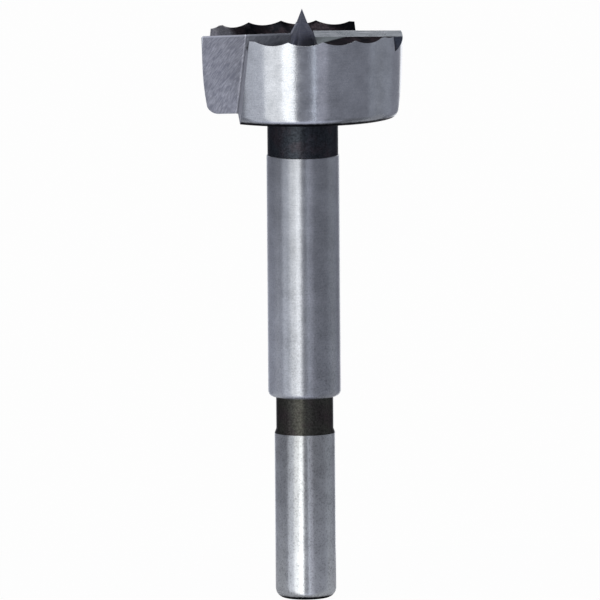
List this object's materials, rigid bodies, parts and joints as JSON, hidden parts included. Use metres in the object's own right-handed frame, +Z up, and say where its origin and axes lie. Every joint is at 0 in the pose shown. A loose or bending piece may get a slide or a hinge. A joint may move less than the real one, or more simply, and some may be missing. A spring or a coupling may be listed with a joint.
{
  "type": "forstner bit",
  "caption": "Forstner drill bit with a toothed rim, chisel lifters, a centre point and a plain round shank, for boring clean flat-bottomed holes in wood.",
  "frame": {"origin": "centre of the shank's end, on the surface that the bit stands on", "axes": "+Z up the bit from the shank's end to its point, X along the cutting edges, Y across them"},
  "size_m": [0.0318, 0.0318, 0.0934],
  "materials": {
    "tool_steel": "ground bright on the rim, edges, barrel and shank, blackened on the necks, the underside and inside the rim"
  },
  "bodies": {
    "root": {"forstner_bit": "tool_steel"}
  },
  "joints": []
}
